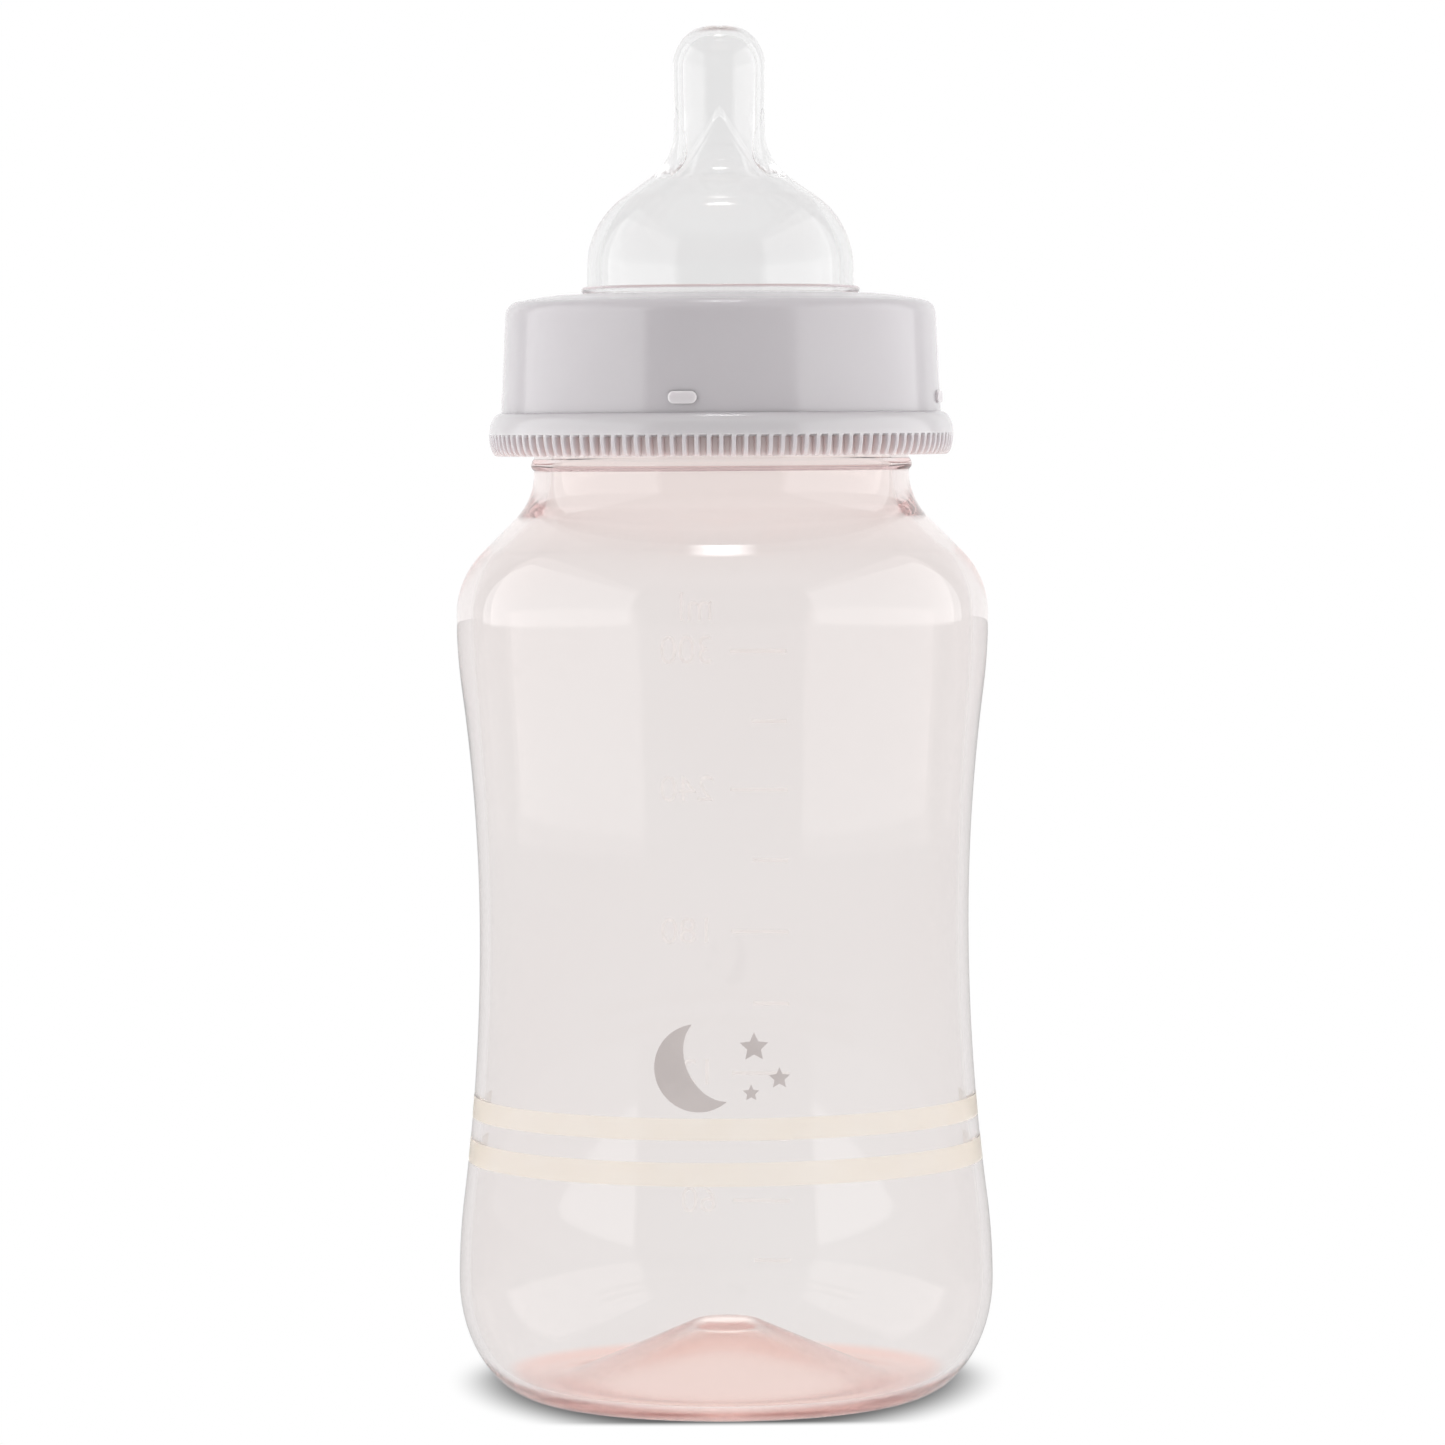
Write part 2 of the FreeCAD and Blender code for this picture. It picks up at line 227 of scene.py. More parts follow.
class Flow:
    def __init__(self, tree, socket=None):
        self.tree = tree
        self.socket = socket

    def node(self, kind, settings=None, inputs=None, out=0):
        made = self.tree.nodes.new(kind)
        for key, value in (settings or {}).items():
            setattr(made, key, value)
        for key, value in (inputs or {}).items():
            if isinstance(value, Flow):
                self.tree.links.new(value.socket, made.inputs[key])
            else:
                made.inputs[key].default_value = value
        return Flow(self.tree, made.outputs[out] if made.outputs else None)

    def maths(self, operation, *values):
        return self.node("ShaderNodeMath", {"operation": operation}, dict(enumerate(values)))

    def __add__(self, other):
        return self.maths("ADD", self, other)

    def __radd__(self, other):
        return self.maths("ADD", other, self)

    def __sub__(self, other):
        return self.maths("SUBTRACT", self, other)

    def __rsub__(self, other):
        return self.maths("SUBTRACT", other, self)

    def __mul__(self, other):
        return self.maths("MULTIPLY", self, other)

    def __rmul__(self, other):
        return self.maths("MULTIPLY", other, self)

    def __truediv__(self, other):
        return self.maths("DIVIDE", self, other)

    def __rtruediv__(self, other):
        return self.maths("DIVIDE", other, self)

    def __gt__(self, other):
        return self.maths("GREATER_THAN", self, other)

    def rise(self, low, high):
        # 0 below low, 1 above high, soft between
        soft = {"interpolation_type": "SMOOTHSTEP"}
        return self.node("ShaderNodeMapRange", soft, {0: self, 1: low, 2: high})

    def tint(self, dark, light):
        # colour between two by this mask
        return self.node("ShaderNodeMix", {"data_type": "RGBA"}, {0: self, 6: dark, 7: light}, 2)

    def objectPlace(self):
        return self.node("ShaderNodeTexCoord", out="Object")

    def length(self):
        return self.node("ShaderNodeVectorMath", {"operation": "LENGTH"}, {0: self}, "Value")

    def offAxis(self):
        # distance of a place from the upright axis, in millimetres
        return self.stretched((1, 1, 0)).length() / mm

    def passed(self, kind):
        # 1 once light has gone through, or been mirrored by, anything on its way
        return self.node("ShaderNodeLightPath", out=kind + " Depth") > 0.5

    def axis(self, letter):
        return self.node("ShaderNodeSeparateXYZ", None, {0: self}, "XYZ".index(letter))

    def stretched(self, scale):
        return self.node("ShaderNodeMapping", None, {"Vector": self, "Scale": scale})

    def noise(self, scale, detail=2.0):
        return self.node("ShaderNodeTexNoise", None, {"Vector": self, "Scale": scale, "Detail": detail})

    def bump(self, strength, depth):
        return self.node("ShaderNodeBump", None, {"Height": self, "Strength": strength, "Distance": depth})

    def principled(self, inputs, depthTint=None, depthStrength=0.0):
        # a clear piece also takes a tint that deepens with the way light goes inside it
        ends = {"Surface": self.node("ShaderNodeBsdfPrincipled", None, inputs)}
        if depthTint:
            ends["Volume"] = self.node("ShaderNodeVolumeAbsorption", None,
                                       {"Color": depthTint, "Density": depthStrength})
        self.node("ShaderNodeOutputMaterial", None, ends)


def newMaterial(name):
    material = bpy.data.materials.new(name)
    material.use_nodes = True
    material.node_tree.nodes.clear()
    return material, Flow(material.node_tree)


def colour(red, green, blue):
    # linear colour from the values that a colour picker shows, 0 to 255
    return (*(((c / 255 + 0.055) / 1.055) ** 2.4 for c in (red, green, blue)), 1)


# Bottle

bottle = {
    "standRadius": 24.0, "standWidth": 2.4, "footRadius": 35.2, "footHeight": 15.5,
    "waistRadius": 32.2, "waistHeight": 61.7, "shoulderRadius": 34.95, "shoulderHeight": 103.2,
    "neckRadius": 24.65, "neckStart": 121.7, "rimHeight": 141.1,
    "gripShare": 0.76, "shoulderSteepness": 1.54, "shoulderShare": 0.58,
    "beadRise": 1.1, "beadHalf": 0.75, "beadProud": 0.42, "rimRounding": 0.6,
    "bodyWall": 1.3, "shoulderWall": 2.1, "neckWall": 2.2,
    "baseWall": 2.0, "pushUp": 7.9, "pushUpFlat": 3.4, "pushUpSteepness": 1.2, "pushUpShare": 0.15,
    "steps": 224, "longStep": 1.6, "fineStep": 0.7, "threadStep": 0.3,
    "baseHaze": 0.15, "gloss": 0.02, "glossUneven": 0.02, "coat": 0.15, "bend": 1.3,
    "depthTint": (0.94, 0.64, 0.6, 1), "depthStrength": 22.0,
    "bodyTints": ((0.901, 0.883, 0.877, 1), (0.908, 0.896, 0.89, 1)), "clouds": 22, "cloudFade": (0.35, 0.7),
    "smears": 90, "smearFade": (0.3, 0.8), "ripples": 55, "rippleStretch": 0.25, "rippleBump": (0.02, 0.0012),
    "neckTint": (0.867, 0.826, 0.814, 1), "neckFade": (104, 117),
    # painted glow: a faint emission on the neck-to-shoulder fillet that stands in for light there
    "filletPaintedGlow": (0.019, 0.0176, 0.0173, 1), "filletFrom": (111, 115), "filletTo": (121, 124),
    "baseSlope": 0.34, "baseFade": (10.2, 12), "rimTint": (1, 0.77, 0.71, 1), "rimFade": (18, 24),
    "domeTint": (0.985, 0.82, 0.77, 1), "middleTint": (1, 0.94, 0.915, 1), "middleFade": (4, 10),
    # painted glow: a faint red emission over the whole base, brighter on its flat top, that stands in for
    # light there
    "basePaintedGlow": (0.005, 0, 0, 1), "flatPaintedGlow": (0.2, 0.175, 0.163, 1), "flatFade": (2.6, 4.4),
}

thread = {
    "lead": 9.0, "starts": 2, "topHalf": 0.45, "footHalf": 0.95, "taper": 0.12,
    "neckLow": 126.0, "neckTurns": 1.25, "neckProud": 1.6,
    "ringDrop": 2.25, "ringFrom": 0.2, "ringTo": 1.2, "ringProud": 1.3,
}


def gripSide(side, wall, topWall, bottomHeight):
    # the rounded foot and the hollow grip up to the shoulder, where the wall is thicker
    b = bottle
    side.corner(b["footRadius"] - wall, bottomHeight, b["footRadius"] - wall, b["footHeight"])
    side.step = b["longStep"]
    side.sway(b["waistRadius"] - wall, b["waistHeight"], 2, 1 - b["gripShare"])
    side.sway(b["shoulderRadius"] - topWall, b["shoulderHeight"], 2, b["gripShare"])
    side.step = b["fineStep"]


def bottleOutside():
    b = bottle
    bead = b["neckStart"] + b["beadRise"]
    side = Outline(0, b["pushUp"], b["longStep"])
    side.line(b["pushUpFlat"], b["pushUp"])
    side.sway(b["standRadius"] - b["standWidth"], 0, b["pushUpSteepness"], b["pushUpShare"], upright=False)
    side.line(b["standRadius"], 0)
    gripSide(side, 0, 0, 0)
    side.sway(b["neckRadius"], b["neckStart"], b["shoulderSteepness"], b["shoulderShare"])
    side.step = b["threadStep"]
    side.line(b["neckRadius"], bead - b["beadHalf"])
    side.bow(b["neckRadius"], bead + b["beadHalf"], b["beadProud"])
    side.line(b["neckRadius"], b["rimHeight"] - b["rimRounding"])
    side.corner(b["neckRadius"], b["rimHeight"], b["neckRadius"] - b["rimRounding"], b["rimHeight"])
    return side.points


def bottleInside():
    # from the base's middle up to the mouth
    b = bottle
    bore = b["neckRadius"] - b["neckWall"]
    side = Outline(0, b["pushUp"] + b["baseWall"], b["longStep"])
    side.line(b["pushUpFlat"], b["pushUp"] + b["baseWall"])
    side.sway(b["standRadius"] + b["bodyWall"], b["baseWall"],
              b["pushUpSteepness"], b["pushUpShare"], upright=False)
    gripSide(side, b["bodyWall"], b["shoulderWall"], b["baseWall"])
    side.sway(bore, b["neckStart"], b["shoulderSteepness"], b["shoulderShare"])
    side.step = b["longStep"]
    side.line(bore, b["rimHeight"] - b["rimRounding"])
    side.step = b["threadStep"]
    side.corner(bore, b["rimHeight"], bore + b["rimRounding"], b["rimHeight"])
    return side.points


def threadWeight(place, low, turnFrom, turnTo):
    # how far this place lies on one of the thread's ridges, 0 to 1
    t = thread
    best = 0
    for start in range(t["starts"]):
        turn = (math.atan2(place.y, place.x) / fullTurn - start / t["starts"]) % 1
        while turn < turnTo:
            if turn > turnFrom:
                off = abs(place.z / mm - low - t["lead"] * turn)
                ridge = ease((t["footHalf"] - off) / (t["footHalf"] - t["topHalf"]))
                ends = ease(min(turn - turnFrom, turnTo - turn) / t["taper"])
                best = max(best, ridge * ends)
            turn += 1
    return best


def neckThread(vert):
    across = math.hypot(vert.co.x, vert.co.y) / mm
    if abs(across - bottle["neckRadius"]) > near:
        return 0
    return threadWeight(vert.co, thread["neckLow"], 0, thread["neckTurns"])


outsidePoints = bottleOutside()
insidePoints = bottleInside()


def wallRadius(height):
    # outside radius of the body at a height
    for (lowRadius, low), (highRadius, high) in zip(outsidePoints, outsidePoints[1:]):
        if low <= height < high:
            return lowRadius + (highRadius - lowRadius) * (height - low) / (high - low)
    return bottle["neckRadius"]


def bottlePlastic():
    b = bottle
    material, f = newMaterial("bottle_plastic")
    place = f.objectPlace()
    height, across = place.axis("Z") / mm, place.offAxis()
    outward = f.maths("MAXIMUM", across - b["pushUpFlat"], 0)
    base = 1 - (height + b["baseSlope"] * outward).rise(*b["baseFade"])
    body = place.noise(b["clouds"]).rise(*b["cloudFade"]).tint(*b["bodyTints"])
    wall = height.rise(*b["neckFade"]).tint(body, b["neckTint"])
    dome = (1 - across.rise(*b["middleFade"])).tint(b["domeTint"], b["middleTint"])
    foot = across.rise(*b["rimFade"]).tint(dome, b["rimTint"])
    # painted glow on the base, brightest on its flat top
    paintedGlow = (1 - across.rise(*b["flatFade"])).tint(b["basePaintedGlow"], b["flatPaintedGlow"])
    fillet = height.rise(*b["filletFrom"]) * (1 - height.rise(*b["filletTo"]))
    paintedFilletLight = fillet.tint(black, b["filletPaintedGlow"])          # painted glow on the fillet, standing in for light that runs round in the wall
    uneven = place.noise(b["smears"]).rise(*b["smearFade"]) * b["glossUneven"]
    ripple = place.stretched((1, 1, b["rippleStretch"])).noise(b["ripples"], 1.0) * (1 - base)
    f.principled({
        "Base Color": base.tint(wall, foot), "Roughness": base * b["baseHaze"] + uneven + b["gloss"],
        "IOR": b["bend"], "Transmission Weight": 1.0, "Coat Weight": b["coat"],
        "Normal": ripple.bump(*b["rippleBump"]),
        "Emission Color": base.tint(paintedFilletLight, paintedGlow), "Emission Strength": 1.0,
    }, b["depthTint"], b["depthStrength"])
    return material


def makeBottle():
    piece = turnPiece("bottle_shell", outsidePoints + insidePoints[::-1], bottle["steps"])
    swell(piece, "thread", thread["neckProud"], neckThread)
    smooth(piece)
    finishPiece(piece, "bottle", bottlePlastic(), "bottle")
    print("bottle turned:", len(piece.data.polygons), "faces")
    return piece


bottleShell = makeBottle()


# Teat

teat = {
    "height": 39.05, "flangeOverlap": 0.35, "flangeThick": 2.2, "flangeRounding": 0.5,
    "domeRadius": 17.5, "domeTop": 7.5, "domeWall": 1.8, "beadProud": 0.8, "beadThick": 0.9,
    "seatProud": 0.3, "seatGap": 0.1, "lipThick": 1.8,
    "shaftRadius": 6.0, "shaftStart": 25.4, "shaftWall": 1.25,
    "tipBulge": 0.13, "tipEdge": 4.8, "tipCrown": 0.75,
    "flareSteepness": 1.67, "flareShare": 0.6, "feedHole": 0.4,
    "petals": 4, "petalThick": 0.45, "petalTop": 28.5, "petalLength": 10.5,
    "petalHalf": 6.2, "petalEdge": 0.65, "petalFade": 4.0,
    "ventAngle": 19.0, "nubRadius": 1.5, "nubLength": 2.2, "nubHole": 0.5,
    "nubEdge": 0.3, "nubGap": 0.01, "nubSteps": 48, "steps": 208, "step": 0.45, "fineStep": 0.3,
    # the last value here is the glow of the painted highlight along the rib edges
    "gloss": 0.05, "glossUneven": 0.03, "coat": 0.15, "bend": 1.3, "petalPaintedGlow": 0.08,
    "tipHaze": 0.1, "tipFade": (-3, -1),      # measured from the top
    "tints": ((0.893, 0.891, 0.892, 1), (0.905, 0.903, 0.903, 1)), "clouds": 70, "cloudFade": (0.3, 0.75),
    "grain": 120, "grainBump": (0.02, 0.0002), "depthTint": (0.7, 0.7, 0.7, 1), "depthStrength": 14.0,
}


def teatPoints():
    t, rim = teat, bottle["rimHeight"]
    bore, shaft = t["domeRadius"] - t["domeWall"], t["shaftRadius"] - t["shaftWall"]
    tip, tipFoot = rim + t["height"], rim + t["height"] - t["tipCrown"] - t["tipEdge"]
    innerTip = tip - t["shaftWall"]
    flange, flangeTop = bottle["neckRadius"] + t["flangeOverlap"], rim + t["flangeThick"]
    seat, lipTop = t["domeRadius"] + t["seatProud"], flangeTop + t["lipThick"]
    beadLow, beadRadius = lipTop + t["seatGap"], t["domeRadius"] + t["beadProud"]
    beadHigh, beadHalf = beadLow + t["beadThick"], t["beadThick"] / 2
    # up the outside from the flange, then down the inside from the feed hole
    side = Outline(bore, rim, t["step"])
    side.line(flange, rim)
    side.line(flange, flangeTop - t["flangeRounding"])
    side.corner(flange, flangeTop, flange - t["flangeRounding"], flangeTop)
    side.line(seat, flangeTop)
    side.line(seat, beadLow)
    side.line(beadRadius - beadHalf, beadLow)
    side.corner(beadRadius, beadLow, beadRadius, beadLow + beadHalf)
    side.corner(beadRadius, beadHigh, beadRadius - beadHalf, beadHigh)
    side.line(t["domeRadius"], beadHigh)
    side.line(t["domeRadius"], rim + t["domeTop"])
    side.sway(t["shaftRadius"], rim + t["shaftStart"], t["flareSteepness"], t["flareShare"])
    side.sway(t["shaftRadius"] + t["tipBulge"], tipFoot, 2, 0.5)
    side.corner(t["shaftRadius"] + t["tipBulge"], tip, t["shaftRadius"] + t["tipBulge"] - t["tipEdge"], tip)
    side.line(t["feedHole"], tip)
    side.line(t["feedHole"], innerTip)
    tipInside = shaft + t["tipBulge"]
    side.line(tipInside - (t["tipEdge"] - t["shaftWall"]), innerTip)
    side.corner(tipInside, innerTip, tipInside, tipFoot)
    side.step = t["fineStep"]
    side.sway(shaft, rim + t["shaftStart"], 2, 0.5)
    side.sway(bore, rim + t["domeTop"], t["flareSteepness"], 1 - t["flareShare"])
    side.step = t["step"]
    side.line(bore, rim)
    return side.points


def petalShares(vert):
    # pointed ribs on the inner wall: how far in from their sides, and how far from fading out at the dome
    t, place = teat, vert.co
    inwards = place.x * vert.normal.x + place.y * vert.normal.y < 0
    below = bottle["rimHeight"] + t["petalTop"] - place.z / mm
    if not inwards or not 0 < below < t["petalLength"]:
        return 0, 0
    pitch = fullTurn / t["petals"]
    angle = math.atan2(place.y, place.x)
    nearest = angle - round(angle / pitch) * pitch
    across = math.hypot(place.x, place.y) / mm * abs(math.sin(nearest))
    half = t["petalHalf"] * below / t["petalLength"]
    return ease((half - across) / t["petalEdge"]), ease((t["petalLength"] - below) / t["petalFade"])


def petalWeight(vert):
    side, foot = petalShares(vert)
    return side * foot


def markPetalEdges(piece):
    # 1 along the edges of the ribs, where a painted highlight goes
    shares = [petalShares(vert) for vert in piece.data.vertices]
    edge = piece.data.attributes.new("petal_edge_highlight", "FLOAT", "POINT")
    for spot, (side, foot) in zip(edge.data, shares):
        spot.value = 4 * side * (1 - side) * foot


def teatSilicone():
    t = teat
    material, f = newMaterial("teat_silicone")
    place = f.objectPlace()
    cloud = place.noise(t["clouds"]).rise(*t["cloudFade"])
    grain = place.noise(t["grain"], 0.0)
    # the rib edges are painted white and glow a little: a painted highlight
    edge = f.node("ShaderNodeAttribute", {"attribute_name": "petal_edge_highlight"}, None, "Fac")
    top = bottle["rimHeight"] + t["height"]
    tip = (place.axis("Z") / mm - top).rise(*t["tipFade"])
    f.principled({
        "Base Color": edge.tint(cloud.tint(*t["tints"]), white),
        "Roughness": tip * t["tipHaze"] + cloud * t["glossUneven"] + t["gloss"],
        "IOR": t["bend"], "Transmission Weight": 1.0, "Coat Weight": t["coat"],
        "Normal": grain.bump(*t["grainBump"]),
        "Emission Color": edge.tint(black, white), "Emission Strength": t["petalPaintedGlow"],
    }, t["depthTint"], t["depthStrength"])
    return material


def ventNub(material):
    # a small cup under the flange, through which air follows the milk
    t, rim = teat, bottle["rimHeight"]
    end = rim - t["nubLength"]
    side = Outline(0, end, t["fineStep"])
    side.line(t["nubRadius"] - t["nubEdge"], end)
    side.corner(t["nubRadius"], end, t["nubRadius"], end + t["nubEdge"])
    side.line(t["nubRadius"], rim - t["nubGap"])
    side.line(t["nubHole"], rim - t["nubGap"])
    side.line(t["nubHole"], end + t["nubRadius"] - t["nubHole"])
    side.line(0, end + t["nubRadius"] - t["nubHole"])
    piece = turnPiece("vent_nub", side.points, t["nubSteps"])
    angle = math.radians(t["ventAngle"])
    away = (t["domeRadius"] - t["domeWall"] + bottle["neckRadius"] - bottle["neckWall"]) / 2 * mm
    bpy.ops.object.mode_set(mode="EDIT")
    bpy.ops.mesh.select_all(action="SELECT")
    bpy.ops.transform.translate(value=(away * math.sin(angle), -away * math.cos(angle), 0))
    bpy.ops.object.mode_set(mode="OBJECT")
    smooth(piece)
    finishPiece(piece, "teat", material)


def makeTeat():
    material = teatSilicone()
    piece = turnPiece("teat_shell", teatPoints(), teat["steps"])
    markPetalEdges(piece)
    swell(piece, "petals", teat["petalThick"], petalWeight)
    smooth(piece)
    finishPiece(piece, "teat", material, "teat")
    ventNub(material)
    print("teat turned:", len(piece.data.polygons), "faces")


makeTeat()


# Screw ring

ring = {
    "threadRoom": 1.95, "footRise": 2.3, "wallTop": 1.65, "wallBottom": 2.25, "crownDrop": 0.85,
    "topEdge": 1.9, "holeEdge": 0.45, "collarHeight": 5.6, "collarProud": 1.65, "collarEdge": 2.8,
    "collarInset": 1.0, "leadIn": 0.5, "grooves": 120, "grooveDepth": 1.1, "grooveTop": 2.6,
    "columns": 7, "grooveColumns": (2, 3, 4, 5), "step": 0.9, "fineStep": 0.3, "innerStep": 0.5,
    "pads": 4, "padAngle": -9.8, "padHeight": 7.5, "padWidth": 3.7, "padTall": 1.6, "padProud": 0.35,
    "padCorners": 32, "padEdge": 0.22, "padCrease": 50, "padGloss": 0.45,
    "gloss": 0.13, "glossUneven": 0.05, "bend": 1.6, "clouds": 35, "cloudFade": (0.3, 0.7),
    "grain": 1600, "grainBump": (0.03, 0.0001),
    "drumColours": (colour(186, 182, 185), colour(190, 186, 189)),
    # the pads take a lighter copy of the drum's colours: painted light that they catch
    "padPaintedLightColours": (colour(198, 194, 196), colour(203, 199, 201)),
    # the collar band and the grooves are painted lighter than the drum: painted light
    "paintedCollarLight": colour(194, 191, 193), "paintedGrooveLight": colour(213, 200, 199),
    "glowDepth": 1.2, "glowShares": (1, 0.95, 0.95),      # how far light goes into the plastic
    "insidePaintedGlow": colour(195, 184, 186),      # painted glow on the hidden inside, standing in for light that comes through
}
ringFoot = bottle["neckStart"] + ring["footRise"]
skirtRadius = bottle["neckRadius"] + ring["threadRoom"]
drumFoot = skirtRadius + ring["wallBottom"]
drumTop = skirtRadius + ring["wallTop"]
collarRadius = drumFoot + ring["collarProud"]
grooveFloor = collarRadius - ring["grooveDepth"]
holeRadius = teat["domeRadius"] + teat["seatProud"] + teat["seatGap"]
flangeTop = bottle["rimHeight"] + teat["flangeThick"]
lipTop = flangeTop + teat["lipThick"]
crownEdge = lipTop - ring["crownDrop"]


def ringPoints():
    r, hole, collar = ring, holeRadius, collarRadius
    side = Outline(hole, flangeTop, r["step"])
    side.line(hole, lipTop - r["holeEdge"])
    side.corner(hole, lipTop, hole + r["holeEdge"], lipTop)
    side.bow(drumTop - r["topEdge"], crownEdge, -r["crownDrop"] / 4)
    side.step = r["fineStep"]
    side.corner(drumTop, crownEdge, drumTop, crownEdge - r["topEdge"])
    side.step = r["step"]
    side.line(drumFoot, ringFoot + r["collarHeight"])
    side.step = r["fineStep"]
    side.corner(collar, ringFoot + r["collarHeight"], collar, ringFoot + r["collarEdge"])
    side.corner(collar, ringFoot, collar - r["collarInset"], ringFoot)
    side.step = r["step"]
    side.line(skirtRadius + r["leadIn"], ringFoot)
    side.line(skirtRadius, ringFoot + r["leadIn"])
    side.step = r["innerStep"]
    side.line(skirtRadius, flangeTop)
    side.step = 2 * r["step"]
    side.line(hole, flangeTop)
    return side.points


def cutGrooves(piece):
    # row by row, the groove columns are scaled in to the groove's floor
    r = ring
    columns = r["grooves"] * r["columns"]
    rows = {}
    for vert in piece.data.vertices:
        radius, height = math.hypot(vert.co.x, vert.co.y) / mm, vert.co.z / mm
        column = round(math.atan2(vert.co.y, vert.co.x) / fullTurn * columns) % r["columns"]
        inReach = radius > grooveFloor + near and height < ringFoot + r["grooveTop"]
        if inReach and column in r["grooveColumns"]:
            rows.setdefault(round(height, 3), (radius, []))[1].append(vert.index)
    selectOnly(piece)
    bpy.ops.object.mode_set(mode="EDIT")
    for radius, members in rows.values():
        bpy.ops.mesh.select_mode(type="VERT")
        bpy.ops.mesh.select_all(action="DESELECT")
        shape = bmesh.from_edit_mesh(piece.data)
        shape.verts.ensure_lookup_table()
        for index in members:
            shape.verts[index].select_set(True)
        bmesh.update_edit_mesh(piece.data)
        scale = grooveFloor / radius
        bpy.ops.transform.resize(value=(scale, scale, 1), center_override=(0, 0, 0))
    bpy.ops.object.mode_set(mode="OBJECT")


def ringThread(vert):
    across = math.hypot(vert.co.x, vert.co.y) / mm
    inwards = vert.co.x * vert.normal.x + vert.co.y * vert.normal.y < 0
    if abs(across - skirtRadius) > near or not inwards:
        return 0
    low = thread["neckLow"] - thread["ringDrop"]
    return threadWeight(vert.co, low, thread["ringFrom"], thread["ringTo"])


def ringPlastic(name, roughness, shades):
    r = ring
    material, f = newMaterial(name)
    place = f.objectPlace()
    cloud = place.noise(r["clouds"], 3.0).rise(*r["cloudFade"])
    grain = place.noise(r["grain"], 2.0)
    height, across = place.axis("Z") / mm, place.offAxis()
    underLip = 1 - height.rise(flangeTop, flangeTop + 0.2)
    inside = (1 - across.rise(skirtRadius + 0.2, skirtRadius + 0.5)) * underLip
    # the hidden inside glows: painted light
    hidden = f.maths("MAXIMUM", inside, 1 - across.rise(holeRadius + 0.05, holeRadius + 0.2))
    grooveTop, collarTop = ringFoot + r["grooveTop"], ringFoot + r["collarHeight"]
    low = 1 - height.rise(grooveTop - 0.1, grooveTop)
    # the grooves are painted lighter and pinker than the drum: painted light in them
    groove = low * (1 - across.rise(grooveFloor + 0.1, collarRadius))
    # the collar band is painted lighter than the drum: painted light from below
    collar = (1 - low) * (1 - height.rise(collarTop - 1, collarTop))
    plain = collar.tint(cloud.tint(*shades), r["paintedCollarLight"])
    f.principled({
        "Base Color": groove.tint(plain, r["paintedGrooveLight"]),
        "Roughness": cloud * r["glossUneven"] + roughness, "IOR": r["bend"], "Subsurface Weight": 1.0,
        "Subsurface Radius": r["glowShares"], "Subsurface Scale": r["glowDepth"] * mm,
        "Emission Color": hidden.tint(black, r["insidePaintedGlow"]), "Emission Strength": 1.0,
        "Normal": grain.bump(*r["grainBump"]),
    })
    return material


def hoodPads():
    # round-ended pads, duller than the drum they stand on and painted lighter: painted light they catch
    r = ring
    material = ringPlastic("pad_plastic", r["padGloss"], r["padPaintedLightColours"])
    half = r["padWidth"] / 2 - r["padTall"] / 2
    share = (r["padHeight"] - r["collarHeight"]) / (crownEdge - ringFoot - r["collarHeight"])
    face = drumFoot + (drumTop - drumFoot) * share + r["padProud"]
    depth = r["padProud"] + r["wallTop"] / 2
    pads = []
    for i in range(r["pads"]):
        pad = flatDisc(r["padCorners"], r["padTall"] / 2)
        bpy.ops.object.mode_set(mode="EDIT")
        for way in (-1, 1):
            pick(pad, lambda place: place.x * way > near * mm)
            bpy.ops.transform.translate(value=(way * half * mm, 0, 0))
        bpy.ops.mesh.select_all(action="SELECT")
        bpy.ops.mesh.extrude_region_move(TRANSFORM_OT_translate={"value": (0, 0, depth * mm)})
        pick(pad, lambda place: place.z > depth * mm / 2)
        bpy.ops.mesh.bevel(offset=r["padEdge"] * mm, segments=3, affect="EDGES")
        tidyMesh()
        bpy.ops.object.mode_set(mode="OBJECT")
        angle = math.radians(r["padAngle"]) + i * fullTurn / r["pads"]
        pad.rotation_euler = (math.pi / 2, 0, angle)
        back = (face - depth) * mm
        middle = (ringFoot + r["padHeight"]) * mm
        pad.location = (back * math.sin(angle), -back * math.cos(angle), middle)
        bpy.ops.object.transform_apply(location=True, rotation=True, scale=True)
        pads.append(pad)
    piece = joined(pads, "hood_pads")
    smooth(piece, r["padCrease"])
    finishPiece(piece, "ring", material)


def makeRing():
    material = ringPlastic("ring_plastic", ring["gloss"], ring["drumColours"])
    piece = turnPiece("ring_shell", ringPoints(), ring["grooves"] * ring["columns"])
    cutGrooves(piece)
    swell(piece, "thread", thread["ringProud"], ringThread)
    smooth(piece)
    finishPiece(piece, "ring", material, "screw_ring")
    hoodPads()
    print("ring turned:", len(piece.data.polygons), "faces")


makeRing()


# Prints on the bottle's wall

prints = {
    "lift": 0.01, "thick": 0.02, "strip": 1.0, "away": 50.0,
    "stripes": {"stripe_upper": (37.2, 40.0), "stripe_lower": (31.4, 34.4)},       # from and to
    "stripeStep": 0.4, "stripeEnd": 6.0, "stripeCrease": 40, "weld": 0.005,
    "patches": 160, "patchFade": (0.3, 0.7), "grain": 2500, "grainBump": (0.05, 0.00005), "bend": 1.05,
}
inks = {
    "cream_ink": {"shades": ((0.975, 0.928, 0.86, 1), (0.985, 0.946, 0.89, 1)),
                  "sheer": 0.82, "dullness": 0.4},
    # the pale ink glows a little: painted light
    "pale_ink": {"shades": ((0.975, 0.97, 0.96, 1), (0.985, 0.98, 0.97, 1)),
                 "sheer": 0.6, "dullness": 0.3, "paintedGlow": 0.2},
    "grey_ink": {"shades": (colour(182, 174, 172), colour(188, 180, 178)),
                 "sheer": 0.0, "dullness": 0.4},
}
